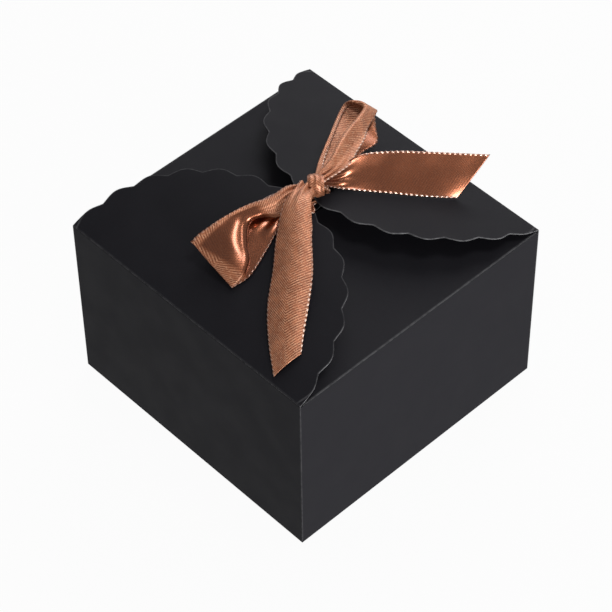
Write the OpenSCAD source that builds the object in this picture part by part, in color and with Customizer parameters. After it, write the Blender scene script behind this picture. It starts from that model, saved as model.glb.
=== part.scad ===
// Square card gift box, closed by four scalloped flaps and a satin ribbon bow.
// Millimetres. Origin: centre of the base. +Z up, the front wall faces -Y, the right wall faces +X.

/* [Box] */
// Outside width and depth of the box
box_w = 147; // [110:1:220]
// Height of the walls, up to the flap creases
box_h = 94.5; // [50:0.5:200]
// Thickness of the card
card_t = 0.5; // [0.3:0.05:0.8]

/* [Flaps] */
// Scallops around each flap
scallops = 14; // [8:2:20]
// Depth of the notches between scallops
scallop_depth = 2.3; // [1:0.1:3.5]
// How round the notches are: 0 is a sharp notch, 1 a smooth wave
notch_round = 0.5; // [0:0.1:1]
// Angle at which the front flap rises from its crease
front_angle = 25; // [20:1:32]
// Angle of the front flap at its tip
front_tip_angle = 8; // [2:1:12]
// Angle at which the back flap rises from its crease
back_angle = 22; // [18:1:30]
// Angle of the back flap at its tip
back_tip_angle = 6; // [2:1:12]
// Angle of the left and right flaps, which lie underneath
lower_angle = 5; // [3:0.5:6]
// How far the lower creases lie below the upper ones
lower_drop = 0.6; // [0.5:0.1:1.5]
// Angle of the trimmed shoulders of the lower flaps
shoulder_angle = 22; // [20:1:30]
// Distance of a lower crease's ends from the box corners
shoulder_inset = 1.75; // [1.5:0.25:4]
// Gap between a crease and the wall under it
crease_gap = 0.1; // [0.05:0.05:0.2]
// Radius of the ribbon holes
hole_r = 4; // [3:0.5:6]
// Distance from a ribbon hole's centre to the flap's tip
hole_inset = 10; // [8:0.5:14]

/* [Glue seam] */
// Width of the glue tab
tab_w = 15; // [8:1:25]
// Bevel at the ends of the glue tab
tab_bevel = 4; // [2:0.5:8]
// Distance of the glue tab from the box's top and bottom edges
tab_inset = 3; // [2.5:0.5:8]
// Thickness of the dried glue
glue_t = 0.1; // [0.05:0.05:0.2]
// Margin of bare card around the glue
glue_margin = 1.5; // [1:0.5:3]

/* [Bottom] */
// How far the slotted bottom flap reaches from the back wall
slot_flap_reach = 92; // [80:1:105]
// Width of the slot
slot_w = 3; // [2:0.5:5]
// Distance from the slot's centre to the edge of its flap
slot_inset = 22; // [16:1:26]
// Gap between the tongue and the side bottom flaps
side_flap_gap = 2; // [1:0.5:8]
// Angle cut from the ends of the side bottom flaps
side_flap_bevel = 12; // [8:1:16]
// Length of the tongue that locks into the slot
tongue_len = 58; // [30:1:75]
// Clearance in the slot at each end of the tongue
tongue_gap = 2; // [1:0.5:4]
// How far the tongue lies over the slotted flap
tongue_reach = 14; // [8:1:18]
// Clearance between the bottom flaps and the walls beside them
bottom_gap = 0.2; // [0.1:0.1:0.5]

/* [Ribbon] */
// Width of the ribbon; the bow grows with it
ribbon_w = 22; // [16:1:25]
// Thickness of the ribbon
ribbon_t = 0.4; // [0.3:0.05:0.6]
// Distance of the knot from the box's middle, towards the right wall
knot_x = 2; // [-10:0.5:10]
// Distance of the knot from the box's middle, towards the back wall
knot_y = 4; // [-5:0.5:10]
// Radius of the knot at its middle
knot_r = 5.3; // [4:0.1:6]
// Radius of the knot at its ends
knot_end_r = 4.4; // [3.5:0.1:5.5]
// Length of the knot along the bow
knot_len = 10; // [8:0.5:12]
// Height of the knot's centre over the front flap's tip
knot_lift = 5.6; // [5:0.1:8]
// Clearance between the knot's ends and the ribbons that leave them
knot_gap = 0.5; // [0.3:0.1:1]
// Width of the ribbon gathered in a hole
gather_w = 6.4; // [5:0.2:8]

/* [Hidden] */
$fn = 96;
card = "#232327";
card_edge = "#3a3a3e";
satin = "#a2623e";
satin_dark = "#8a4f31";

half_w = box_w / 2;
// the crease of an upper flap is a round fold of the card's own thickness
upper_crease_z = box_h - card_t / 2;
// scoring has pressed it a little thinner than the card
crease_r = 0.48 * card_t;
lower_crease_z = upper_crease_z - lower_drop;
upper_wall_h = upper_crease_z - card_t / 2 - crease_gap;
lower_wall_h = lower_crease_z - card_t / 2 - crease_gap;
points_per_scallop = 10;
// the ribbon width and the knot's place for which the bow's points are written
drawn_w = 22;
drawn_x = 2;
drawn_y = 4;
bow_size = ribbon_w / drawn_w;
strip_steps = 4;
strip_cells = 3;

// ---- flaps -------------------------------------------------------------

flap_reach = half_w;
scallop_step = 180 / scallops;

// share of the scallops' depth at t, which is 0 in the middle of a scallop and 1 in a notch
function notch(t) = (1 - notch_round) * t * t + notch_round * (1 - cos(180 * t)) / 2;

// radius of the flap's edge at an angle from the crease; its first and last half scallop are plain
function edge_r(a) =
    let (t = 2 * abs(a / scallop_step - floor(a / scallop_step) - 0.5))
    (a < scallop_step / 2 || a > 180 - scallop_step / 2)
        ? flap_reach
        : flap_reach - scallop_depth * notch(t);

// bending radius of a flap that rises at angle a0 from its crease and at a1 at its tip
function bend_r(a0, a1) = flap_reach * 180 / (PI * (a0 - a1));
function bent(a0, a1, q) = a0 - q * 180 / (PI * bend_r(a0, a1));
// distance along the ground, and height, of the point q along the bent sheet
function sheet_y(a0, a1, q) = bend_r(a0, a1) * (sin(a0) - sin(bent(a0, a1, q)));
function sheet_z(a0, a1, q) = bend_r(a0, a1) * (cos(bent(a0, a1, q)) - cos(a0));
// height of the bent sheet at the distance y from its crease, and its reach
function sheet_top(a0, a1, y) =
    bend_r(a0, a1) * (cos(asin(sin(a0) - y / bend_r(a0, a1))) - cos(a0));
function sheet_reach(a0, a1) = sheet_y(a0, a1, flap_reach);

edge_angles = [for (i = [0:scallops * points_per_scallop]) i * scallop_step / points_per_scallop];

// the round fold at a crease
module crease(length) {
    rotate([0, 90, 0]) cylinder(r = crease_r, h = length, center = true, $fn = 24);
}

// a flap bent like an arch, with its crease along X at the origin and its tip towards +Y
module bent_flap(a0, a1) {
    r = bend_r(a0, a1);
    crease(box_w);
    difference() {
        intersection() {
            translate([0, r * sin(a0), -r * cos(a0)]) rotate([0, 90, 0]) difference() {
                cylinder(r = r + card_t / 2, h = box_w, center = true, $fn = 720);
                cylinder(r = r - card_t / 2, h = box_w + 2, center = true, $fn = 720);
            }
            translate([0, 0, -card_t]) linear_extrude(flap_reach)
                polygon([for (a = edge_angles)
                    [edge_r(a) * cos(a), sheet_y(a0, a1, edge_r(a) * sin(a))]]);
        }
        translate([0, sheet_y(a0, a1, flap_reach - hole_inset), 0])
            cylinder(r = hole_r, h = flap_reach, $fn = 48);
    }
}

// a flat flap with trimmed shoulders, which lies under the bent ones
module lower_flap() {
    crease_half = half_w - shoulder_inset;
    trimmed_half = crease_half - flap_reach * tan(shoulder_angle);
    crease(2 * crease_half);
    rotate([lower_angle, 0, 0]) translate([0, 0, -card_t / 2]) linear_extrude(card_t)
        intersection() {
            polygon([for (a = edge_angles) edge_r(a) * [cos(a), sin(a)]]);
            polygon([
                [-crease_half, 0], [crease_half, 0],
                [trimmed_half, flap_reach], [-trimmed_half, flap_reach]
            ]);
        }
}

module front_flap() {
    color(card) translate([0, -half_w + card_t / 2, upper_crease_z])
        bent_flap(front_angle, front_tip_angle);
}

module back_flap() {
    color(card) translate([0, half_w - card_t / 2, upper_crease_z]) rotate([0, 0, 180])
        bent_flap(back_angle, back_tip_angle);
}

module left_flap() {
    color(card_edge) translate([-half_w + card_t / 2, 0, lower_crease_z]) rotate([0, 0, -90])
        lower_flap();
}

module right_flap() {
    color(card_edge) translate([half_w - card_t / 2, 0, lower_crease_z]) rotate([0, 0, 90])
        lower_flap();
}

// ---- walls and glue seam -----------------------------------------------

module wall(height, width) {
    translate([-width / 2, 0, 0]) cube([width, card_t, height]);
}

module front_wall() {
    color(card) translate([0, -half_w, 0]) wall(upper_wall_h, box_w);
}

module back_wall() {
    color(card) translate([0, half_w - card_t, 0]) wall(upper_wall_h, box_w);
}

module left_wall() {
    color(card) translate([-half_w, 0, 0]) rotate([0, 0, -90])
        wall(lower_wall_h, box_w - 2 * card_t);
}

module right_wall() {
    color(card) translate([half_w, 0, 0]) rotate([0, 0, 90])
        wall(lower_wall_h, box_w - 2 * card_t);
}

// a sheet on the inside of the right wall, with its long edge on the front wall
module seam_sheet(depth, thickness, margin) {
    low = tab_inset + margin;
    high = lower_wall_h - tab_inset - margin;
    translate([half_w - card_t - depth, -half_w + card_t, 0]) rotate([90, 0, 90])
        linear_extrude(thickness) polygon([
            [margin, low], [tab_w - margin, low + tab_bevel],
            [tab_w - margin, high - tab_bevel], [margin, high]
        ]);
}

module glue_tab() {
    color(card_edge) seam_sheet(glue_t + card_t, card_t, 0);
}

module seam_glue() {
    color("ivory") seam_sheet(glue_t, glue_t, glue_margin);
}

// ---- snap-lock bottom: three layers of card ----------------------------

inner_half = half_w - card_t;
slot_len = tongue_len + 2 * tongue_gap;
side_flap_reach = inner_half - tongue_len / 2 - side_flap_gap;
// the slot lies across the slotted flap, near the edge that points to the front wall
slot_flap_edge = inner_half - slot_flap_reach;
slot_y = slot_flap_edge + slot_inset;

module bottom_slot_flap() {
    half = inner_half - bottom_gap;
    color(card_edge) translate([0, 0, 2 * card_t]) linear_extrude(card_t) difference() {
        polygon([
            [-half, inner_half], [half, inner_half],
            [tongue_len / 2 + slot_inset, slot_flap_edge],
            [-tongue_len / 2 - slot_inset, slot_flap_edge]
        ]);
        translate([-slot_len / 2, slot_y - slot_w / 2]) square([slot_len, slot_w]);
    }
}

module side_bottom_flap() {
    half = inner_half - bottom_gap;
    cut = side_flap_reach * tan(side_flap_bevel);
    color(card) translate([0, 0, card_t]) linear_extrude(card_t) polygon([
        [-inner_half, -half], [-inner_half + side_flap_reach, -half + cut],
        [-inner_half + side_flap_reach, half - cut], [-inner_half, half]
    ]);
}

module bottom_left_flap() {
    side_bottom_flap();
}

module bottom_right_flap() {
    mirror([1, 0, 0]) side_bottom_flap();
}

// the outermost flap, whose tongue climbs between the side flaps and through the slot
module bottom_lock_flap() {
    half = inner_half - bottom_gap;
    climb_end = slot_y + slot_w / 2 - bottom_gap;
    climb_start = climb_end - 6 * card_t;
    shoulder_y = slot_flap_edge - bottom_gap;
    color(card) {
        linear_extrude(card_t) polygon([
            [-half, -inner_half], [half, -inner_half],
            [tongue_len / 2 + slot_inset, climb_start], [-tongue_len / 2 - slot_inset, climb_start]
        ]);
        translate([-tongue_len / 2, 0, 0]) rotate([90, 0, 90]) linear_extrude(tongue_len) polygon([
            [shoulder_y, 0], [climb_start, 0], [climb_end, 3 * card_t],
            [climb_end + tongue_reach, 3 * card_t], [climb_end + tongue_reach, 4 * card_t],
            [climb_end - card_t / 2, 4 * card_t], [climb_start - card_t / 2, card_t], [shoulder_y, card_t]
        ]);
    }
}

// ---- ribbon ------------------------------------------------------------

front_reach = sheet_reach(front_angle, front_tip_angle);
back_reach = sheet_reach(back_angle, back_tip_angle);
front_tip_z = upper_crease_z + card_t / 2
    + sheet_top(front_angle, front_tip_angle, front_reach);
back_tip_z = upper_crease_z + card_t / 2 + sheet_top(back_angle, back_tip_angle, back_reach);
front_tip_y = -half_w + card_t / 2 + front_reach;
back_tip_y = half_w - card_t / 2 - back_reach;
knot_z = front_tip_z + knot_lift;
// radius of the knot's crowned side, from its length and its two radii
knot_bow_r = (pow(knot_len / 2, 2) + pow(knot_r - knot_end_r, 2)) / (2 * (knot_r - knot_end_r));
// where the ribbons leave the knot's two ends, written like the bow's points
front_y = drawn_y - (knot_len / 2 + knot_gap) / bow_size;
back_y = drawn_y + (knot_len / 2 + knot_gap) / bow_size;

// top of the closed flaps at a distance y from the middle of the box
function lid_z(y) =
    y <= front_tip_y
        ? upper_crease_z + card_t / 2
            + sheet_top(front_angle, front_tip_angle, max(0, y + half_w - card_t / 2))
    : y >= back_tip_y
        ? upper_crease_z + card_t / 2
            + sheet_top(back_angle, back_tip_angle, max(0, half_w - card_t / 2 - y))
    : front_tip_z + (back_tip_z - front_tip_z) * (y - front_tip_y) / (back_tip_y - front_tip_y);

// The bow's points are written as [x, y, height over the closed flaps], for the drawn width and
// place, and are scaled about the knot.
function placed(p) =
    let (y = knot_y + (p[1] - drawn_y) * bow_size)
    [knot_x + (p[0] - drawn_x) * bow_size, y, lid_z(y) + p[2] * bow_size];
// a real place, written like the bow's points
function drawn(x, y, height) =
    [drawn_x + (x - knot_x) / bow_size, drawn_y + (y - knot_y) / bow_size, height / bow_size];

// a smooth curve through a list of points: point number i, and the share f of the way to the next
function before(list, i) = i > 0 ? list[i - 1] : 2 * list[0] - list[1];
function after(list, i) =
    i + 2 < len(list) ? list[i + 2] : 2 * list[len(list) - 1] - list[len(list) - 2];
function blend(a, b, c, d, f) =
    (2 * b + (c - a) * f + (2 * a - 5 * b + 4 * c - d) * f * f
        + (3 * b - a - 3 * c + d) * f * f * f) / 2;
function curve(list, steps) = concat(
    [for (i = [0:len(list) - 2], k = [0:steps - 1])
        blend(before(list, i), list[i], list[i + 1], after(list, i), k / steps)],
    [list[len(list) - 1]]
);
function unit(v) = v / norm(v);

// one cross-section of the strip: its points from the left edge to the right one, moved along
// the surface's normal by half the thickness to one side
function strip_row(left, right, bulge, normal, side) =
    [for (j = [0:strip_cells]) let (f = j / strip_cells)
        left * (1 - f) + right * f + normal * (bulge * 4 * f * (1 - f) + side * ribbon_t / 2)];

// A ribbon through its stations [left edge, right edge, bulge], left and right seen along the run.
module strip(stations) {
    lefts = curve([for (s = stations) placed(s[0])], strip_steps);
    rights = curve([for (s = stations) placed(s[1])], strip_steps);
    bulges = curve([for (s = stations) s[2] * bow_size], strip_steps);
    last = len(lefts) - 1;
    normals = [for (i = [0:last])
        let (a = max(i - 1, 0), b = min(i + 1, last),
            run = (lefts[b] + rights[b]) - (lefts[a] + rights[a]))
        unit(cross(rights[i] - lefts[i], run))];
    row = strip_cells + 1;
    ring = 2 * row;
    points = [for (i = [0:last]) each concat(
        strip_row(lefts[i], rights[i], bulges[i], normals[i], 1),
        [for (j = [row - 1:-1:0])
            strip_row(lefts[i], rights[i], bulges[i], normals[i], -1)[j]]
    )];
    sides = [for (i = [0:last - 1], j = [0:ring - 1]) let (k = (j + 1) % ring) each [
        [i * ring + j, (i + 1) * ring + j, (i + 1) * ring + k],
        [i * ring + j, (i + 1) * ring + k, i * ring + k]
    ]];
    // each end is closed between its upper and lower row
    caps = [for (j = [0:row - 2]) let (a = j, b = j + 1, c = ring - 2 - j, d = ring - 1 - j, e = last * ring)
        each [[a, b, c], [a, c, d], [e + a, e + c, e + b], [e + a, e + d, e + c]]];
    polyhedron(points, concat(sides, caps), convexity = 6);
}

module ribbon_knot() {
    color(satin_dark) translate([knot_x, knot_y, knot_z]) rotate([90, 0, 0]) rotate_extrude()
        intersection() {
            translate([knot_r - knot_bow_r, 0]) circle(r = knot_bow_r);
            translate([0, -knot_len / 2]) square([knot_r, knot_len]);
        }
}

// over the flap towards the left corner, folded back underneath
module ribbon_front_loop() {
    color(satin) strip([
        [[4, front_y, 6], [-2, front_y, 7], 0],
        [[2, -19, 9], [-4, -18, 10], 0.5],
        [[0, -28, 12], [-7, -30, 13], 1],
        [[1, -38, 12], [-10, -38, 14], 1.5],
        [[8, -45, 7.5], [-12, -47, 13], 2],
        [[10, -54, 3], [-14, -54, 11], 0],
        [[10.5, -52.5, 1], [-14.5, -53, 8], 0],
        [[11, -43, 0.9], [-10, -45, 6], 0],
        [[7, -31, 0.9], [-8, -32, 4], 0],
        [[3, -17, 1.5], [-5, -16, 3], 0],
        [[3.5, front_y, 3], [-1.5, front_y, 3.5], 0]
    ]);
}

// stands up behind the knot, leaning towards the far corner
module ribbon_back_loop() {
    color(satin) strip([
        [[-2.5, back_y, 6.3], [3, back_y, 5.5], 0],
        [[-11, 21, 6], [-2, 26, 2], 0],
        [[-19, 34, 8], [-6, 42, 3], 0],
        [[-28, 49, 10], [-7, 52, 5], 0],
        [[-29, 57, 14], [-12, 58, 10], 0],
        [[-21, 59, 18.5], [-13, 58, 15], 0],
        [[-13, 42, 17], [-8, 46, 14], 0.5],
        [[-6, 25, 14], [0, 33, 12], 0.5],
        [[-2, 15, 11], [5, 17, 10], 0.5],
        [[-1.5, back_y, 10], [4.5, back_y, 9], 0]
    ]);
}

// lies over the front flap towards the near corner, its end cut askew
module ribbon_front_tail() {
    color(satin) strip([
        [[4.5, front_y, 9.4], [-1.5, front_y, 8.6], 0],
        [[11, -7, 9.8], [3, -15, 10], 1],
        [[24, -19, 7.5], [10, -26, 6.5], 2],
        [[36, -30, 5], [20, -38, 3.5], 2.5],
        [[44.5, -40.5, 3], [30, -50, 2], 2.5],
        [[51, -50, 1.5], [41, -60, 1.2], 2],
        [[57, -57, 1], [54, -70, 1], 1]
    ]);
}

// stands on its lower edge on the back flap, towards the right corner
module ribbon_right_tail() {
    color(satin) strip([
        [[-1, back_y, 7.8], [4, back_y, 6.4], 0],
        [[1.5, 21, 9], [6, 16, 2], -0.5],
        [[2.5, 31, 11.5], [11.5, 24, 0.9], -1.5],
        [[9, 46, 13], [21.5, 35, 0.8], -2],
        [[18, 58, 14.5], [31, 46, 0.8], -1.5],
        [[39, 77, 20], [38.5, 56.5, 0.8], -1]
    ]);
}

// from the knot down through the hole in one upper flap, and up through the other one's
module ribbon_strap() {
    half = gather_w / 2;
    front_hole_y = -half_w + card_t / 2
        + sheet_y(front_angle, front_tip_angle, flap_reach - hole_inset);
    back_hole_y = half_w - card_t / 2 - sheet_y(back_angle, back_tip_angle, flap_reach - hole_inset);
    // distances of the ribbon from the flaps: on them and underneath; and its slack in the holes
    over = 0.9;
    under = 1.7;
    slack = 0.5;
    // a station across the strap, at a height over the flaps
    function across(y, height) = [drawn(half, y, height), drawn(-half, y, height), 0];
    function above(y) = across(y, over);
    function within(y) = across(y, (over - card_t - under) / 2);
    function below(y, lift = 0) = across(y, lift - card_t - under);
    color(satin_dark) strip([
        [[half, front_y, 2.2], [-half, front_y, 2.2], 0],
        [[11, -5, over], [-half, -6, over], 0],
        above(front_hole_y + hole_r / 2 - slack),
        within(front_hole_y),
        below(front_hole_y + hole_r / 2),
        below(front_tip_y, back_tip_z - front_tip_z),
        below(back_tip_y),
        below(back_hole_y - hole_r / 2),
        within(back_hole_y),
        across(back_hole_y - slack, over + slack / 2),
        [[half, back_y, 4.8], [-half, back_y, 4.8], 0]
    ]);
}

front_wall();
back_wall();
left_wall();
right_wall();
glue_tab();
seam_glue();
bottom_slot_flap();
bottom_left_flap();
bottom_right_flap();
bottom_lock_flap();
front_flap();
back_flap();
left_flap();
right_flap();
ribbon_knot();
ribbon_front_loop();
ribbon_back_loop();
ribbon_front_tail();
ribbon_right_tail();
ribbon_strap();
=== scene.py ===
# Square card gift box with scalloped lid flaps and a satin ribbon bow. Metres, +Z up, it stands on z = 0.
import bpy
import math
import numpy as np
from mathutils import Matrix, Vector, noise


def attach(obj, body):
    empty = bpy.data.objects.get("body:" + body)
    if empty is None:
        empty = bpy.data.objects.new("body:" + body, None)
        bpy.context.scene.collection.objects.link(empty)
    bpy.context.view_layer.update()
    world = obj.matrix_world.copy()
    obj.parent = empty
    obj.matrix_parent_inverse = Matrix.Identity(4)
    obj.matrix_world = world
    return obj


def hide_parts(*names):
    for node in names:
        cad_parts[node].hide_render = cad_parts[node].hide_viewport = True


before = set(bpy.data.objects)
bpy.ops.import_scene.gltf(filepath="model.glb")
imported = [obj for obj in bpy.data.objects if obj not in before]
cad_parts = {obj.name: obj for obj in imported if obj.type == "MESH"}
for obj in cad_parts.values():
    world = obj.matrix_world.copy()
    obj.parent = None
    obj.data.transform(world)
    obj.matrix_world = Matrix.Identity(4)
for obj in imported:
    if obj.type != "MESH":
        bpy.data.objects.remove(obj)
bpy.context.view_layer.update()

mm = 0.001


class Wire:  # one output socket, with arithmetic
    def __init__(self, nodes, socket):
        self.nodes, self.socket = nodes, socket

    def math(self, operation, *others, swap=False):
        values = [self, *others]
        if swap:
            values.reverse()
        return self.nodes.add("ShaderNodeMath", {"operation": operation}, dict(enumerate(values)))

    def __add__(self, other): return self.math("ADD", other)
    def __radd__(self, other): return self.math("ADD", other)
    def __sub__(self, other): return self.math("SUBTRACT", other)
    def __rsub__(self, other): return self.math("SUBTRACT", other, swap=True)
    def __mul__(self, other): return self.math("MULTIPLY", other)
    def __rmul__(self, other): return self.math("MULTIPLY", other)
    def __truediv__(self, other): return self.math("DIVIDE", other)
    def __pow__(self, other): return self.math("POWER", other)
    def __gt__(self, other): return self.math("GREATER_THAN", other)
    def __abs__(self): return self.math("ABSOLUTE")

    def high(self, other): return self.math("MAXIMUM", other)
    def low(self, other): return self.math("MINIMUM", other)

    def wave(self, pitch):  # a sine between 0 and 1, once for each pitch
        return (self * (2 * math.pi / pitch)).math("SINE") * 0.5 + 0.5

    def ramp(self, start, end, low=0.0, high=1.0):  # smooth step from low to high
        sockets = {"Value": self, "From Min": start, "From Max": end, "To Min": low, "To Max": high}
        return self.nodes.add("ShaderNodeMapRange", {"interpolation_type": "SMOOTHSTEP"}, sockets)


class Nodes:  # a node tree that nodes are added to
    def __init__(self, tree):
        self.tree = tree

    def add(self, kind, settings=None, sockets=None, out=0):
        node = self.tree.nodes.new(kind)
        for key, value in (settings or {}).items():
            setattr(node, key, value)
        for key, value in (sockets or {}).items():
            self.plug(node.inputs[key], value)
        return Wire(self, node.outputs[out])

    def plug(self, socket, value):
        if isinstance(value, Wire):
            self.tree.links.new(value.socket, socket)
        elif socket.type == "RGBA" and len(value) == 3:
            socket.default_value = (*value, 1)
        else:
            socket.default_value = value

    def split(self, vector):
        node = self.add("ShaderNodeSeparateXYZ", None, {0: vector}).socket.node
        return [Wire(self, s) for s in node.outputs]

    def place(self):
        return self.add("ShaderNodeTexCoord", out="Object")

    def stretch(self, where, scale):
        return self.add("ShaderNodeVectorMath", {"operation": "MULTIPLY"}, {0: where, 1: scale})

    def noise(self, where, scale, detail, rough=0.5):
        return self.add("ShaderNodeTexNoise", None,
                        {"Vector": where, "Scale": scale, "Detail": detail, "Roughness": rough})

    def strands(self, where, scales, *settings):  # noise drawn out along one direction
        return self.noise(self.stretch(where, scales), *settings)

    def mix(self, share, a, b):
        return self.add("ShaderNodeMix", {"data_type": "RGBA"}, {0: share, 6: a, 7: b}, out=2)

    def bump(self, height, depth, strength=1.0):
        return self.add("ShaderNodeBump", None, {"Height": height, "Distance": depth, "Strength": strength})


class Finish(Nodes):  # a material with a Principled shader, and constants on its sockets
    def __init__(self, name, **constants):
        self.material = bpy.data.materials.new(name)
        self.material.use_nodes = True
        super().__init__(self.material.node_tree)
        self.shader = self.tree.nodes["Principled BSDF"]
        self.set(**constants)

    def set(self, **values):
        for socket, value in values.items():
            self.plug(self.shader.inputs[socket.replace("_", " ")], value)
        return self.material


# the closed lid in mm, and the two upper flaps' slopes at the crease and at the tip, in degrees
lid = {"half": 73.25, "crease": 94.5, "front": (25.0, 8.0), "back": (22.0, 6.0), "reach": 73.5}
wall = {"half": 73.5 * mm, "top": 94.5 * mm}

card = {"face": (0.0095, 0.0091, 0.0117), "mottle": (0.0109, 0.0105, 0.0132), "fibre": (0.022, 0.0215, 0.026),
        "edge": (0.15, 0.15, 0.155), "speck": (0.14, 0.14, 0.15), "roughness": (0.62, 0.68), "specular": 0.09,
        "clouds": (55, 3), "fibres": ((1.0, 1.0, 1.7), 2600, 3, 0.65), "fibreMix": 0.30, "grains": (900, 2),
        "scuffAndHighlightNoise": (420, 2), "dustScale": 34, "dustSize": (0.010, 0.016), "dustPatches": (21, 1),
        "dustFrom": 0.53, "bump": 0.04 * mm}


def makeCard(name, wearAndHighlight):  # the mask function, called with (finish, x, y, z), gives the creases and cut edges that are lightened, partly for scuffed paper and partly as a painted highlight
    f = Finish(name, Specular_IOR_Level=card["specular"])
    place = f.place()
    x, y, z = f.split(place)
    cloud = f.noise(place, *card["clouds"])
    fibre = f.strands(place, *card["fibres"])
    grain = f.noise(place, *card["grains"])
    dust = f.add("ShaderNodeTexVoronoi", {"distance": "EUCLIDEAN"},
                 {"Vector": place, "Scale": card["dustScale"], "Randomness": 1.0})
    speck = dust.ramp(*card["dustSize"], 1.0, 0.0) * (f.noise(place, *card["dustPatches"]) > card["dustFrom"])
    scuffAndHighlightMask = wearAndHighlight(f, x, y, z) * f.noise(place, *card["scuffAndHighlightNoise"]).ramp(0.30, 0.62, 0.45, 1.0)
    colour = f.mix(cloud.ramp(0.35, 0.7), card["face"], card["mottle"])
    colour = f.mix(fibre.ramp(0.45, 0.75, 0.0, card["fibreMix"]), colour, card["fibre"])
    # painted highlight on the creases and cut edges, mixed with real scuffing of the paper
    colour = f.mix(scuffAndHighlightMask.low(1.0), colour, card["edge"])
    colour = f.mix(speck, colour, card["speck"])
    rough = cloud.ramp(0.3, 0.7, *card["roughness"]) + scuffAndHighlightMask * 0.12
    height = fibre * 0.6 + grain * 0.4
    return f.set(Base_Color=colour, Roughness=rough, Normal=f.bump(height, card["bump"], 0.45))


# how much each kind of crease and cut edge is lightened, partly for scuffed paper and partly as a painted
# highlight
scuffAndHighlight = {"corner": 0.25, "rim": 0.20, "foot": 0.12, "bottomFold": 0.15, "upperFold": 0.12, "lowerFold": 0.30,
         "upperCut": 0.95, "lowerCut": 0.6, "upperBurrAndHighlight": 0.30, "lowerBurrAndHighlight": 0.15}
flapEdge = {"scallops": 14, "depth": 2.3, "round": 0.5, "burrAndHighlightWidth": 0.32, "fade": 0.25}


def near(wire, value, start, end):  # 1 within start of a value, 0 beyond end
    return abs(wire - value).ramp(start, end, 1.0, 0.0)


def nearCorner(wire): return near(abs(wire), wall["half"], 0.35 * mm, 0.7 * mm)
def nearCrease(wire): return near(abs(wire), wall["half"], 0.45 * mm, 0.9 * mm)


def wallWearAndHighlight(f, x, y, z):
    corner = nearCorner(x) * nearCorner(y)
    rim = near(z, wall["top"] - 0.7 * mm, 0.3 * mm, 0.8 * mm) * (abs(x) > wall["half"] - 0.6 * mm)
    foot = near(z, 0.0, 0.15 * mm, 0.5 * mm)
    return (corner * scuffAndHighlight["corner"]).high(rim * scuffAndHighlight["rim"]).high(foot * scuffAndHighlight["foot"])


def bottomWearAndHighlight(f, x, y, z):
    return near(z, 0.0, 0.1 * mm, 0.4 * mm) * scuffAndHighlight["bottomFold"]


def cutRim(f, along, across):  # the burr beside the die-cut outline, lightened partly for scuffed paper and partly as a painted highlight, from a place on the flat flap, in mm
    turn = across.math("ARCTAN2", along) / (math.pi / flapEdge["scallops"])
    t = abs(turn - turn.math("FLOOR") - 0.5) * 2
    dip = t * t * (1 - flapEdge["round"]) + (1 - (t * math.pi).math("COSINE")) * (flapEdge["round"] / 2)
    fromMiddle = (along * along + across * across).math("SQRT")
    inside = lid["reach"] - dip * flapEdge["depth"] - fromMiddle
    return near(inside, 0.0, flapEdge["burrAndHighlightWidth"], flapEdge["burrAndHighlightWidth"] + flapEdge["fade"])


def cutFace(f):  # cut edges face sideways; their lighter colour is partly the paper's core and partly a painted highlight
    up = f.split(f.add("ShaderNodeTexCoord", out="Normal"))[2]
    return abs(up).ramp(0.25, 0.6, 1.0, 0.0)


def arch(rise, tipRise):  # the slope at the crease and the tip, in radians, and the radius the flap is bent to
    a, b = math.radians(rise), math.radians(tipRise)
    return a, b, lid["reach"] / (a - b)


def upperWearAndHighlight(slopes):
    a, b, radius = arch(*slopes)

    def wearAndHighlight(f, x, y, z):
        fromCrease = lid["half"] - abs(y / mm)
        run = (a - (math.sin(a) - fromCrease / radius).math("ARCSINE")) * radius
        return (cutFace(f) * scuffAndHighlight["upperCut"]).high(cutRim(f, x / mm, run) * scuffAndHighlight["upperBurrAndHighlight"]).high(
            nearCrease(y) * scuffAndHighlight["upperFold"])
    return wearAndHighlight


def lowerWearAndHighlight(f, x, y, z):
    fromCrease = lid["half"] - abs(x / mm)
    return (cutFace(f) * scuffAndHighlight["lowerCut"]).high(cutRim(f, y / mm, fromCrease) * scuffAndHighlight["lowerBurrAndHighlight"]).high(
        nearCrease(x) * scuffAndHighlight["lowerFold"])


glue = {"deep": (0.58, 0.52, 0.38), "pale": (0.78, 0.74, 0.62), "roughness": (0.25, 0.5), "specular": 0.5,
        "streaks": ((1.0, 0.35, 0.12), 900, 3), "bump": 0.05 * mm}


def makeGlue():
    f = Finish("driedGlue", Specular_IOR_Level=glue["specular"])
    streak = f.strands(f.place(), *glue["streaks"])
    return f.set(Base_Color=f.mix(streak, glue["deep"], glue["pale"]), Normal=f.bump(streak, glue["bump"]),
                 Roughness=streak.ramp(0.3, 0.7, *glue["roughness"]))


finishes = [  # the finish of each node that keeps its own mesh
    (makeCard("wallCard", wallWearAndHighlight), ["front_wall", "back_wall", "left_wall", "right_wall", "glue_tab"]),
    (makeCard("bottomCard", bottomWearAndHighlight), ["bottom_slot_flap", "bottom_left_flap", "bottom_right_flap",
                                          "bottom_lock_flap"]),
    (makeCard("frontFlapCard", upperWearAndHighlight(lid["front"])), ["front_flap"]),
    (makeCard("backFlapCard", upperWearAndHighlight(lid["back"])), ["back_flap"]),
    (makeCard("lowerFlapCard", lowerWearAndHighlight), ["left_flap", "right_flap"]),
    (makeGlue(), ["seam_glue"]),
]
for made, nodes in finishes:
    for node in nodes:
        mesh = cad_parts[node].data
        mesh.materials.clear()
        mesh.materials.append(made)
        for polygon in mesh.polygons:
            polygon.material_index = 0
print("card and glue finishes on", sum(len(nodes) for made, nodes in finishes), "nodes")

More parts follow.
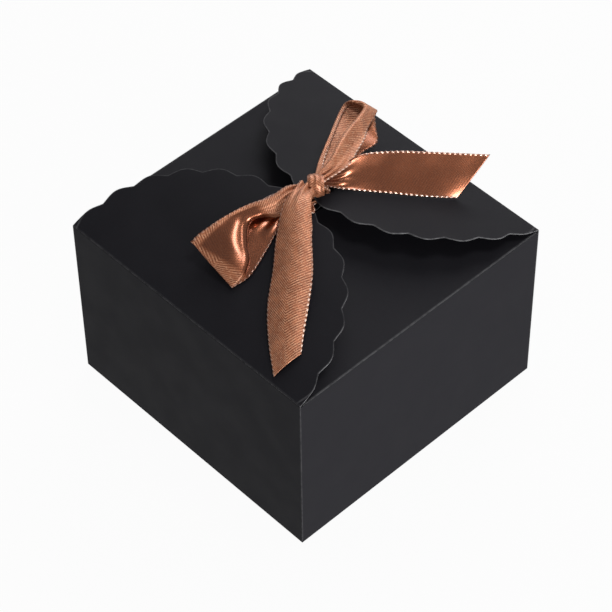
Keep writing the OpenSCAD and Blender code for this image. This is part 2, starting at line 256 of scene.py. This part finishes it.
# the ribbon in mm; pleats, tuck and curl hold where a run doesn't give its own
ribbon = {"width": 22.0, "thick": 0.26, "rowPitch": 0.45, "columns": 44, "beadPitch": 2.35, "beadOut": 0.22,
          "beadThick": 0.20, "border": 0.75, "crinkle": 0.22, "crinkleSize": 9.0, "rollRadius": (0.25, 3.0),
          "pleats": 2.5, "tuck": -1, "curl": 0.14, "beadHighlightStrength": 0.6, "curveSteps": 24}

satin = {"lit": (0.49, 0.170, 0.078), "deep": (0.31, 0.094, 0.040), "grooveShade": (0.10, 0.028, 0.012),
         "ridgeHighlight": (0.86, 0.50, 0.31), "bead": (0.95, 0.70, 0.58), "glossy": (0.36, 0.106, 0.040),
         "glossyDeep": (0.26, 0.069, 0.024), "twill": 1.0, "thread": 0.42, "border": (10.1, 10.6),
         "fibres": ((300.0, 60.0, 1.0), 2.2, 2, 0.6), "streaks": ((420.0, 26.0, 1.0), 1.6, 3, 0.6),
         "floats": ((190.0, 110.0, 1.0), 0.95, 3, 0.7), "grooveShadeMix": 0.95, "ridgeHighlightMix": 0.62, "threadMix": 0.25,
         "floatGlints": 0.60, "floatShade": 0.55, "roughness": (0.38, 0.50), "metallic": 0.30,
         "specular": 0.36, "coatRoughness": 0.21, "sheen": (0.02, 0.4), "bump": 0.1 * mm}


def makeSatin():  # one side is matt twill, the other smooth and glossy
    f = Finish("copperSatin", Specular_IOR_Level=satin["specular"], Coat_Roughness=satin["coatRoughness"],
               Sheen_Weight=satin["sheen"][0], Sheen_Roughness=satin["sheen"][1])
    # ribbonRun is millimetres across and along, divided by 100; the second map holds the glossy share, used on
    # the right tail as painted shade, and the strength of the painted highlight on the beads
    run = f.add("ShaderNodeUVMap", {"uv_map": "ribbonRun"})
    glossAndShadeShare, beadHighlightShare, _ = f.split(f.add("ShaderNodeUVMap", {"uv_map": "ribbonGlossAndShade"}))
    u, v, _ = f.split(f.stretch(run, (100.0, 100.0, 0.0)))
    wander = f.noise(run, 9, 2)
    side = abs(u - ribbon["width"] / 2)
    twill = (v * 0.80 + side * 0.60 + wander * 0.8).wave(satin["twill"])  # it runs to a point along the middle
    thread = (v * 0.62 - u * 0.75 + wander).wave(satin["thread"])
    fibre = f.strands(run, *satin["fibres"])
    streak = f.strands(run, *satin["streaks"])
    floats = f.strands(run, *satin["floats"])  # painted glints and painted shade on short lengths of thread
    cloud = f.noise(run, 16, 2)
    twillShadingStrength = f.noise(run, 40, 2).ramp(0.35, 0.65, 0.35, 1.0)  # the painted twill shade and highlight show more in some places
    edge = side.ramp(*satin["border"])
    bead = v.wave(ribbon["beadPitch"]).ramp(0.35, 0.8)
    matt = 1 - glossAndShadeShare * 0.8
    show = twillShadingStrength * (1 - glossAndShadeShare * 0.6)
    colour = f.mix(cloud.ramp(0.35, 0.65), satin["lit"], satin["deep"])
    # the glossy face's darker colour; on the right tail it is painted shade
    colour = f.mix(glossAndShadeShare, colour, f.mix(streak.ramp(0.3, 0.7), satin["glossy"], satin["glossyDeep"]))
    # painted shade in the twill's grooves and painted highlight on its ridges
    colour = f.mix((1 - twill) ** 2 * satin["grooveShadeMix"] * show, colour, satin["grooveShade"])
    colour = f.mix(twill ** 3 * satin["ridgeHighlightMix"] * show * matt, colour, satin["ridgeHighlight"])
    colour = f.mix(thread * satin["threadMix"] * show * (1 - glossAndShadeShare), colour, satin["deep"])
    # painted highlight on the border's beads, and painted shade on the border between them
    colour = f.mix(edge * bead * beadHighlightShare, f.mix(edge * 0.55, colour, satin["grooveShade"]), satin["bead"])
    # painted glints, then painted shade, from the short lengths of thread
    colour = f.mix(floats.ramp(0.55, 0.68) * satin["floatGlints"] * matt, colour, satin["ridgeHighlight"])
    colour = f.mix(floats.ramp(0.33, 0.46, 1.0, 0.0) * satin["floatShade"] * matt, colour, satin["grooveShade"])
    weave = (twill * show * 0.9 + thread * show * 0.2 + fibre * 0.2) * (1 - glossAndShadeShare * 0.7)
    height = weave + streak * glossAndShadeShare * 0.1 + edge * bead
    return f.set(Base_Color=colour, Coat_Weight=glossAndShadeShare, Normal=f.bump(height, satin["bump"], 0.8),
                 Roughness=fibre.ramp(0.2, 0.8, *satin["roughness"]) - glossAndShadeShare * 0.16,
                 Metallic=glossAndShadeShare * 0.65 + satin["metallic"] - edge * 0.2)


satinFinish = makeSatin()
print("satin finish made")


def archOver(slopes):  # how far a bent flap reaches in plan, and its height at a distance from its crease
    a, b, radius = arch(*slopes)
    reach = radius * (math.sin(a) - math.sin(b))

    def height(y):
        return radius * (math.cos(math.asin(math.sin(a) - max(0.0, min(y, reach)) / radius)) - math.cos(a))
    return reach, height


frontReach, frontHeight = archOver(lid["front"])
backReach, backHeight = archOver(lid["back"])
frontTip, backTip = -lid["half"] + frontReach, lid["half"] - backReach


def lidTop(y):  # the closed lid's height, which the ribbons' points are measured from
    if y <= frontTip:
        return lid["crease"] + frontHeight(y + lid["half"])
    if y >= backTip:
        return lid["crease"] + backHeight(lid["half"] - y)
    share = (y - frontTip) / (backTip - frontTip)
    return lid["crease"] + frontHeight(frontReach) * (1 - share) + backHeight(backReach) * share


def smooth(points):  # rows on a curve through all the points
    points, steps = np.array(points, float), ribbon["curveSteps"]
    full = np.vstack([2 * points[0] - points[1], points, 2 * points[-1] - points[-2]])
    rows = []
    for i in range(len(points) - 1):
        a, b, c, d = full[i:i + 4]
        for k in range(steps):
            t = k / steps
            rows.append((2 * b + (c - a) * t + (2 * a - 5 * b + 4 * c - d) * t * t
                         + (3 * b - a - 3 * c + d) * t ** 3) / 2)
    rows.append(points[-1])
    return np.array(rows)


def lengthsAlong(points):
    return np.concatenate([[0], np.cumsum(np.linalg.norm(np.diff(points, axis=0), axis=1))])


def unit(rows):
    return rows / np.maximum(np.linalg.norm(rows, axis=-1, keepdims=True), 1e-9)


def crinkle(points, size, seed):  # gentle unevenness of a soft sheet, the same each run
    shift = Vector((seed, 1.7 * seed, 0.0))
    heights = [noise.noise(Vector(p) / size + shift) for p in points.reshape(-1, 3)]
    return np.array(heights).reshape(points.shape[:-1])


def step(values, start, end):
    t = np.clip((values - start) / (end - start), 0, 1)
    return t * t * (3 - 2 * t)


def meshPiece(name, points, faces):
    mesh = bpy.data.meshes.new(name)
    mesh.from_pydata([tuple(p) for p in points], [], faces)
    mesh.update()
    for polygon in mesh.polygons:
        polygon.use_smooth = True
    piece = bpy.data.objects.new(name, mesh)
    bpy.context.scene.collection.objects.link(piece)
    return piece


def mapRun(piece, name, laid):  # laid holds one pair for each point of one wall, and both walls get the same
    layer = piece.data.uv_layers.new(name=name)
    corners = np.empty(len(piece.data.loops), dtype=np.int32)
    piece.data.loops.foreach_get("vertex_index", corners)
    pairs = laid.reshape(-1, 2)
    layer.data.foreach_set("uv", pairs[corners % len(pairs)].ravel().astype(np.float32))


def dress(piece, node):
    piece.data.materials.append(satinFinish)
    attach(piece, "bow")
    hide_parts(node)


def evenStations(stations):  # left edge, right edge and forms at even distances, and those distances
    def placed(point): return (point[0], point[1], lidTop(point[1]) + point[2])
    left = smooth([placed(s[0]) for s in stations])
    right = smooth([placed(s[1]) for s in stations])
    forms = smooth([(*s[2:5], s[5] if len(s) > 5 else 0.0) for s in stations])
    along = lengthsAlong((left + right) / 2)
    want = np.linspace(0, along[-1], int(along[-1] / ribbon["rowPitch"]) + 1)

    def even(values): return np.stack([np.interp(want, along, column) for column in values.T], axis=1)
    return even(left), even(right), even(forms), want


def sheetFaces(rows, columns):  # two walls of rows x columns points, closed by a rim
    def at(i, j, layer): return (layer * rows + i) * columns + j
    faces = []
    for i in range(rows - 1):
        for j in range(columns - 1):
            faces.append((at(i, j, 0), at(i, j + 1, 0), at(i + 1, j + 1, 0), at(i + 1, j, 0)))
            faces.append((at(i, j, 1), at(i + 1, j, 1), at(i + 1, j + 1, 1), at(i, j + 1, 1)))
        for j, flip in ((0, False), (columns - 1, True)):
            rim = (at(i, j, 0), at(i + 1, j, 0), at(i + 1, j, 1), at(i, j, 1))
            faces.append(rim[::-1] if flip else rim)
    for i, flip in ((0, True), (rows - 1, False)):
        for j in range(columns - 1):
            rim = (at(i, j, 0), at(i, j + 1, 0), at(i, j + 1, 1), at(i, j, 1))
            faces.append(rim[::-1] if flip else rim)
    return faces


# A run's station is (left edge, right edge, crown, pleat depth, roll, sway), the edges as (x, y, height over
# the lid), in mm. Roll is the width that is rolled in beyond the left edge, or beyond the right one where it
# is negative. Sway, which may be left out, lowers the left half of the cross-section and lifts the right one.
def layRibbon(name, run, glossAndShadeShare=None, beadHighlights=None):
    def own(key): return run.get(key, ribbon[key])
    left, right, forms, want = evenStations(run["stations"])
    crown, depth, roll, sway = (forms[:, k:k + 1] for k in range(4))
    chord = right - left
    wide = np.linalg.norm(chord, axis=1, keepdims=True)
    over = unit(chord)
    up = unit(np.cross(chord, np.gradient((left + right) / 2, axis=0)))
    f = np.linspace(0, 1, ribbon["columns"] + 1)[None, :]
    place = f * (wide + np.abs(roll)) - np.maximum(roll, 0)  # distance from the left edge, on the flat part
    g = np.clip(place / wide, 0, 1)
    beyond = np.maximum(np.maximum(-place, place - wide), 0)
    radius = np.clip(own("curl") * np.abs(roll), *ribbon["rollRadius"])
    turn = np.minimum(beyond / radius, math.pi)
    outward = np.where(place < 0, -1.0, 1.0)
    aside = outward * (radius * np.sin(turn) - np.maximum(beyond - math.pi * radius, 0))
    inward = own("tuck") * radius * (1 - np.cos(turn))
    pleat = np.sin(2 * math.pi * own("pleats") * g + run["seed"]) * np.sin(math.pi * g) ** 0.5
    arched = crown * 4 * g * (1 - g) + depth * pleat - sway * np.sin(2 * math.pi * g)
    v = lengthsAlong(left)[:, None] * (1 - f) + lengthsAlong(right)[:, None] * f
    edge = np.clip(1 - np.minimum(f, 1 - f) * ribbon["width"] / ribbon["border"], 0, 1)  # 1 on the woven border
    bead = edge * (0.5 + 0.5 * np.cos(2 * math.pi * v / ribbon["beadPitch"]))
    surface = left[:, None] + chord[:, None] * g[..., None]
    surface = surface + over[:, None] * aside[..., None] + up[:, None] * (arched + inward)[..., None]
    uneven = ribbon["crinkle"] * crinkle(surface, ribbon["crinkleSize"], run["seed"])
    surface = surface + up[:, None] * uneven[..., None]
    away = unit(np.gradient(surface, axis=1)) * np.sign(f - 0.5)[..., None]
    surface = surface + away * (ribbon["beadOut"] * bead)[..., None]
    facing = unit(np.cross(np.gradient(surface, axis=1), np.gradient(surface, axis=0)))
    offset = facing * ((ribbon["thick"] + ribbon["beadThick"] * bead) / 2)[..., None]
    walls = np.concatenate([(surface + offset).reshape(-1, 3), (surface - offset).reshape(-1, 3)])
    piece = meshPiece(name, walls * mm, sheetFaces(*v.shape))
    across = np.broadcast_to(f, v.shape)
    share = np.broadcast_to(want[:, None] / want[-1], v.shape)
    glossAndShade = np.zeros_like(v) if glossAndShadeShare is None else glossAndShadeShare(g, share)
    dots = np.full_like(v, ribbon["beadHighlightStrength"]) if beadHighlights is None else beadHighlights(across, share)
    mapRun(piece, "ribbonRun", np.stack([across * ribbon["width"], v], axis=-1) / 100)
    mapRun(piece, "ribbonGlossAndShade", np.stack([glossAndShade, dots], axis=-1))
    dress(piece, run["node"])
    want[-1] * mm
    print(name, "rows", len(want) - 1, "length %.0f mm" % want[-1],
          "width %.1f to %.1f mm" % (wide.min(), wide.max()))


knot = {"x": 2.8, "y": 4.0, "lift": 5.0, "radius": 5.3, "endRadius": 4.3, "length": 7.4, "ridges": 0.14,
        "foldPitch": 2.8, "hems": (3.9, 3.5), "hemFrom": 0.4, "hemTo": 1.2, "turn": 42.0, "flatten": 0.97,
        "around": 96, "glossAndShade": 0.25, "reach": 5.0, "wander": 0.5, "bends": (0.9, 0.5, 2.5), "foldSpread": 1.3}
frontY, backY = knot["y"] - knot["reach"], knot["y"] + knot["reach"]  # where the ribbons leave the knot
knot["z"] = lidTop(frontTip) + knot["lift"]

frontLoop = {
    "node": "ribbon_front_loop", "held": "folded", "restsOn": ["front_flap"], "seed": 1.3, "curl": 0.38,
    "strip": 0.64, "stripGrowth": 0.8, "shineFrom": (0.19, 0.24), "shineTo": (0.47, 0.495),
    "shineAgain": (0.56, 0.60), "beadHighlights": 0.2,
    "stations": [
        ((3.0, frontY + 1.2, 6.2), (-1.4, frontY + 1.2, 7.4), 0.3, 1.3, 4),
        ((2.5, -8, 7.2), (-2.8, -8, 9.8), 0.6, 0.7, 6),
        ((1.5, -18.2, 8.8), (-3.6, -17.6, 11), 1.2, 0.3, 8),
        ((-2.4, -25.8, 9.4), (-7.5, -28.1, 12.8), 0, 0, 8),
        ((-4.6, -32.6, 9.2), (-11.1, -37.2, 12.4), 0.2, 0, 8, -0.2),
        ((0.6, -38.6, 7.4), (-13.2, -45.2, 12.2), 0.6, 0, 7, -0.5),
        ((6.6, -42.6, 5.2), (-14.7, -49.9, 11.6), 0.6, 0, 6, -0.7),
        ((10.0, -48.7, 3.8), (-15.3, -53.3, 10.6), 0.4, 0, 4, -0.6),
        ((10.5, -53.9, 1.9), (-15.8, -53.1, 9.5), 0, 0, 0),
        ((10.8, -51.9, 1.0), (-15.2, -51.3, 7), 0, 0, 0),
        ((12.3, -43.4, 0.9), (-10.3, -44.6, 5.5), 0, 0, 0),
        ((8.8, -30.6, 0.9), (-8.5, -32.5, 4), 0, 0, -5),
        ((4.4, -16.9, 1.7), (-5.3, -16, 3), 0, 0.5, -7),
        ((3.0, frontY + 1.2, 3.4), (-1.0, frontY + 1.2, 3.6), 0, 1.2, -4),
    ]}


def frontShine(g, share):  # smooth inside, and matt on the strip along the outline and round the fold
    inside = frontLoop["strip"] + frontLoop["stripGrowth"] * np.clip(share - 0.25, 0, 0.2)
    upper = (1 - step(share, *frontLoop["shineTo"])) * (1 - step(g, inside, inside + 0.1))
    return upper * step(share, *frontLoop["shineFrom"]) + step(share, *frontLoop["shineAgain"])


layRibbon("frontLoop", frontLoop, glossAndShadeShare=frontShine, beadHighlights=lambda f, share: f * 0 + frontLoop["beadHighlights"])

backLoop = {
    "node": "ribbon_back_loop", "held": "folded", "restsOn": ["back_flap"], "seed": 2.1, "tuck": 1,
    "glossAndShade": 0.95, "dullBeadHighlight": 0.1, "leftBeadHighlight": 0.9, "rightBeadHighlight": 0.55,
    "stations": [
        ((-1.5, backY - 1.2, 7.3), (3, backY - 1.2, 6.5), 0, 1.2, 4),
        ((-10.7, 19.6, 6), (-2, 27.0, 2), 0, 0.3, 3),
        ((-18.5, 32.8, 8), (-6.4, 41.8, 3), 0, 0, 2.6),
        ((-25.6, 44.7, 10), (-6.6, 51.4, 5.5), 0, 0, 2.6),
        ((-28.9, 52.4, 13), (-12.5, 56.4, 9.5), 0, 0, 3),
        ((-26.5, 54.2, 16.8), (-17.0, 60.2, 13), 0, 0, 4),
        ((-22.0, 56.6, 18.9), (-16.6, 61.2, 15.6), 0, 0, 7),
        ((-17.4, 55.9, 18.8), (-14.9, 58.8, 15.4), 0, 0, 8),
        ((-13.4, 48.8, 17.5), (-10.0, 49.0, 13.6), 0.3, 0, 10),
        ((-9.5, 37.0, 16.5), (-4.4, 41.0, 13), 0.6, 0, 11),
        ((-5.0, 26.8, 15), (-0.7, 33.2, 12), 0.8, 0, 11),
        ((-1.4, 18.4, 13), (3.4, 23.8, 10.5), 0.8, 0.2, 10),
        ((-0.5, backY - 1.2, 9.6), (4.0, backY - 1.2, 9), 0, 1.2, 5),
    ]}


def backShine(g, share):  # smooth on the loop's far corner
    return backLoop["glossAndShade"] * step(g, 0.55, 0.75) * (1 - step(share, 0.42, 0.48))


def backBeadHighlights(f, share):  # painted highlight on the beads: bright near the knot on the left border, and on the right border of the upper layer
    nearKnot = step(share, 0.08, 0.12) * (1 - step(share, 0.18, 0.24))
    return backLoop["dullBeadHighlight"] + np.where(f < 0.5, backLoop["leftBeadHighlight"] * nearKnot,
                                            backLoop["rightBeadHighlight"] * step(share, 0.62, 0.72))


layRibbon("backLoop", backLoop, glossAndShadeShare=backShine, beadHighlights=backBeadHighlights)

frontTail = {
    "node": "ribbon_front_tail", "held": "laid", "restsOn": ["front_flap"], "seed": 0.4,
    "leftBeadHighlight": 0.25, "leftBeadHighlightGain": 0.75, "rightBeadHighlight": 0.35,
    "stations": [
        ((5.6, frontY + 1.0, 9.0), (-2.6, frontY + 0.8, 8.6), 0.8, 1.0, 3),
        ((11, -7, 9.8), (3, -15, 10), 1.6, 0.2, 2),
        ((24, -19, 7.5), (10, -26, 6.5), 2.2, 0, 0),
        ((36, -30, 5), (20, -38, 3.5), 2.7, 0, 0),
        ((44.5, -40.5, 3), (29.8, -50.6, 2), 2.7, 0, 0),
        ((51.3, -49.8, 1.5), (40.8, -60.7, 1.2), 2, 0, 0),
        ((57.6, -57.6, 1), (55.1, -71.1, 1), 1, 0, 0),
    ]}


def frontTailBeadHighlights(f, share):  # the painted highlight on the left border's beads grows brighter towards the cut end
    left = frontTail["leftBeadHighlight"] + frontTail["leftBeadHighlightGain"] * step(share, 0.45, 0.75)
    return np.where(f < 0.5, left, frontTail["rightBeadHighlight"])


layRibbon("frontTail", frontTail, beadHighlights=frontTailBeadHighlights)

rightTail = {
    "node": "ribbon_right_tail", "held": "laid", "restsOn": ["back_flap"], "seed": 3.0,
    "glossAndShade": 0.95, "beadHighlights": 0.75,
    "stations": [
        ((0, backY - 1.2, 7.8), (3.6, backY - 1.2, 7.0), 0, 1.2, 4),
        ((1.5, 21, 9), (6, 16, 2), -0.5, 0.4, 5),
        ((3.4, 30, 13.2), (12, 23.5, 0.9), -0.8, 0, 1),
        ((11.7, 43.2, 16), (22, 34.5, 0.8), -0.4, 0, 0),
        ((20.8, 55, 17.5), (31.5, 45.5, 0.8), -0.3, 0, 0),
        ((39, 77, 20), (38.9, 56.6, 0.8), 0.3, 0, 0),
    ]}
# the darker glossy colour over this whole tail is painted shade, as the tail turns away from the light
layRibbon("rightTail", rightTail, glossAndShadeShare=lambda g, share: g * 0 + rightTail["glossAndShade"],
          beadHighlights=lambda f, share: f * 0 + rightTail["beadHighlights"])

strap = {
    "node": "ribbon_strap", "held": "gathered", "restsOn": ["front_flap", "back_flap"], "seed": 0.9,
    "pleats": 4.0, "wide": 3.2, "over": 0.9, "through": -0.4, "under": -2.2, "frontHole": -12.6,
    "backHole": 12.2, "gather": 1.15, "gatherUnder": 1.2}


def strapRun(y, lift, gather=strap["gather"]):  # a station across the strap
    return (strap["wide"], y, lift), (-strap["wide"], y, lift), 0, gather, 0


def layStrap():  # from the knot down the front flap's hole, under both flaps, up the back flap's hole
    over, through, under = strap["over"], strap["through"], strap["under"]
    frontHole, backHole, gatherUnder = strap["frontHole"], strap["backHole"], strap["gatherUnder"]
    dip = lidTop(backTip) - lidTop(frontTip)
    stations = [
        strapRun(frontY + 0.4, 2.2),
        ((11, -5, over), (-strap["wide"], -6, over), 0, 0.8, 0),
        strapRun(frontHole + 1.5, over),
        strapRun(frontHole, through),
        strapRun(frontHole + 2, under, gatherUnder),
        strapRun(-3.1, under + dip, gatherUnder),
        strapRun(2.4, under, gatherUnder),
        strapRun(backHole - 2, under, gatherUnder),
        strapRun(backHole, through),
        strapRun(backHole - 0.5, over + 0.3),
        strapRun(backY - 0.4, 4.8),
    ]
    layRibbon("strap", {**strap, "stations": stations})


layStrap()


def knotProfile():  # (radius, place along the knot) across the band, which is folded in three along its length
    end = knot["length"] / 2
    outerHem, innerHem = knot["hems"]
    hem = np.linspace(end - knot["hemTo"], -end + knot["hemFrom"], 12)
    bulge = knot["radius"] - knot["endRadius"]
    return [*[(outerHem, s) for s in hem], (outerHem + 0.12, -end + 0.1),
            *[(knot["radius"] - bulge * (s / end) ** 2, s) for s in np.linspace(-end, end, 63)],
            ((outerHem + innerHem) / 2, end - 0.1), *[(innerHem, -s) for s in hem[::-1]]]


def tieKnot():  # the band wound round the ribbons, with faint folds running round it
    profile, around = knotProfile(), knot["around"]
    cosTurn, sinTurn = math.cos(math.radians(knot["turn"])), math.sin(math.radians(knot["turn"]))
    slow, quick, loose = knot["bends"]
    across = lengthsAlong(np.array(profile))
    outer = np.empty((len(profile), around, 3))
    laid = np.empty((len(profile), around, 2))
    for k, (radius, s) in enumerate(profile):
        for turn in range(around):
            angle = 2 * math.pi * turn / around
            wander = noise.noise(Vector((math.cos(angle) * 1.4, s * 0.30, math.sin(angle) * 1.4)))
            strength = noise.noise(Vector((math.cos(angle) * 1.1 + 7, s * 0.45, math.sin(angle) * 1.1)))
            bend = slow * math.sin(angle + 0.6) + quick * math.sin(3 * angle) + loose * wander
            fold = math.sin(2 * math.pi * s / knot["foldPitch"] + bend) * (1 + knot["foldSpread"] * strength)
            r = radius + (knot["ridges"] * fold + knot["wander"] * wander) * min(1.0, radius / 4)
            side = r * math.cos(angle)
            outer[k, turn] = (knot["x"] + side * cosTurn + s * sinTurn,
                              knot["y"] - side * sinTurn + s * cosTurn,
                              knot["z"] + r * math.sin(angle) * knot["flatten"])
            laid[k, turn] = (across[k] / across[-1] * ribbon["width"], angle * knot["radius"])
    down = np.gradient(outer, axis=0)
    onward = (np.roll(outer, -1, axis=1) - np.roll(outer, 1, axis=1)) / 2
    inner = outer + unit(np.cross(down, onward)) * -ribbon["thick"]

    def at(k, turn, layer): return (layer * len(profile) + k) * around + turn % around
    faces = []
    last = len(profile) - 1
    for turn in range(around):
        for k in range(last):
            faces.append((at(k, turn, 0), at(k + 1, turn, 0), at(k + 1, turn + 1, 0), at(k, turn + 1, 0)))
            faces.append((at(k, turn, 1), at(k, turn + 1, 1), at(k + 1, turn + 1, 1), at(k + 1, turn, 1)))
        faces.append((at(0, turn, 0), at(0, turn + 1, 0), at(0, turn + 1, 1), at(0, turn, 1)))
        faces.append((at(last, turn + 1, 0), at(last, turn, 0), at(last, turn, 1), at(last, turn + 1, 1)))
    piece = meshPiece("knotBand", np.concatenate([outer.reshape(-1, 3), inner.reshape(-1, 3)]) * mm, faces)
    mapRun(piece, "ribbonRun", laid / 100)
    mapRun(piece, "ribbonGlossAndShade", np.full_like(laid, knot["glossAndShade"]))
    dress(piece, "ribbon_knot")
    turnLength = 2 * math.pi * (knot["radius"] * 2 + knot["endRadius"]) / 3
    turnLength * mm
    print("knot band, one turn of %.0f mm" % turnLength)


tieKnot()

floor = {"size": 2.4, "below": 0.2 * mm, "colour": (0.40, 0.40, 0.40), "roughness": 0.9, "shadow": 0.04}


def makeFloor():
    finish = Finish("paleFloor", Roughness=floor["roughness"], Base_Color=floor["colour"])
    white = finish.add("ShaderNodeEmission", None, {"Color": (1, 1, 1), "Strength": 1.0})
    seen = finish.add("ShaderNodeLightPath", out="Is Camera Ray").high(
        finish.add("ShaderNodeLightPath", out="Is Glossy Ray")).high(
        finish.add("ShaderNodeLightPath", out="Is Transmission Ray"))
    blend = finish.add("ShaderNodeMixShader", None,
                       {0: seen * (1 - floor["shadow"]), 1: Wire(finish, finish.shader.outputs[0]), 2: white})
    finish.plug(finish.tree.nodes["Material Output"].inputs["Surface"], blend)
    reach, z = floor["size"] / 2, -floor["below"]
    corners = [(-reach, -reach, z), (reach, -reach, z), (reach, reach, z), (-reach, reach, z)]
    plane = meshPiece("floor", corners, [(0, 1, 2, 3)])
    plane.data.materials.append(finish.material)


makeFloor()

lamps = {
    "key": {"at": (-0.46, 0.78, 0.86), "size": 0.90, "energy": 11.5},
    "overhead": {"at": (0.29, 0.18, 1.32), "size": 0.32, "energy": 3.7},
    "sideSheet": {"at": (1.2, -0.15, 0.22), "size": 0.5, "energy": 15.0},
}
lampsAimAt = (0, 0, 0.08)


def hangLamps():
    for name, lamp in lamps.items():
        data = bpy.data.lights.new(name, "AREA")
        data.shape, data.size, data.energy = "SQUARE", lamp["size"], lamp["energy"]
        thing = bpy.data.objects.new(name, data)
        thing.location = lamp["at"]
        thing.rotation_euler = (Vector(lampsAimAt) - Vector(lamp["at"])).to_track_quat("-Z", "Y").to_euler()
        bpy.context.scene.collection.objects.link(thing)


hangLamps()

room = {"low": 0.39, "overhead": 0.26, "from": 0.05, "to": 0.80}  # brighter near the ground than overhead


def makeWorld():
    world = bpy.data.worlds.new("studio")
    bpy.context.scene.world = world
    world.use_nodes = True
    nodes = Nodes(world.node_tree)
    rise = nodes.split(nodes.add("ShaderNodeTexCoord", out="Generated"))[2]
    soft = nodes.tree.nodes["Background"]
    nodes.plug(soft.inputs["Strength"], rise.ramp(room["from"], room["to"], room["low"], room["overhead"]))
    nodes.plug(soft.inputs["Color"], (1, 1, 1))
    white = nodes.add("ShaderNodeBackground", None, {"Color": (1, 1, 1)})
    seen = nodes.add("ShaderNodeLightPath", out="Is Camera Ray")
    mix = nodes.add("ShaderNodeMixShader", None, {0: seen, 1: Wire(nodes, soft.outputs[0]), 2: white})
    nodes.plug(nodes.tree.nodes["World Output"].inputs["Surface"], mix)


makeWorld()
print("floor,", len(lamps), "lamps and world made")

eye = {"azimuth": 46.818, "elevation": 47.927, "distance": 1.1851, "roll": -0.794,
       "target": (-0.00381, 0.00329, 0.03675), "lens": 150.3, "sensor": 36.0, "clipStart": 0.05}


def makeCamera():
    a, e = math.radians(eye["azimuth"]), math.radians(eye["elevation"])
    back = Vector((math.sin(a) * math.cos(e), -math.cos(a) * math.cos(e), math.sin(e)))
    side = (-back).cross(Vector((0, 0, 1))).normalized()
    top = side.cross(-back)
    c, s = math.cos(math.radians(eye["roll"])), math.sin(math.radians(eye["roll"]))
    side, top = side * c + top * s, top * c - side * s
    data = bpy.data.cameras.new("camera")
    data.lens, data.sensor_width, data.clip_start = eye["lens"], eye["sensor"], eye["clipStart"]
    camera = bpy.data.objects.new("camera", data)
    turn = Matrix((side, top, back)).transposed().to_4x4()
    camera.matrix_world = Matrix.Translation(Vector(eye["target"]) + back * eye["distance"]) @ turn
    bpy.context.scene.collection.objects.link(camera)
    bpy.context.scene.camera = camera


makeCamera()
bpy.context.scene.view_settings.view_transform = "Standard"

print("scene is ready")
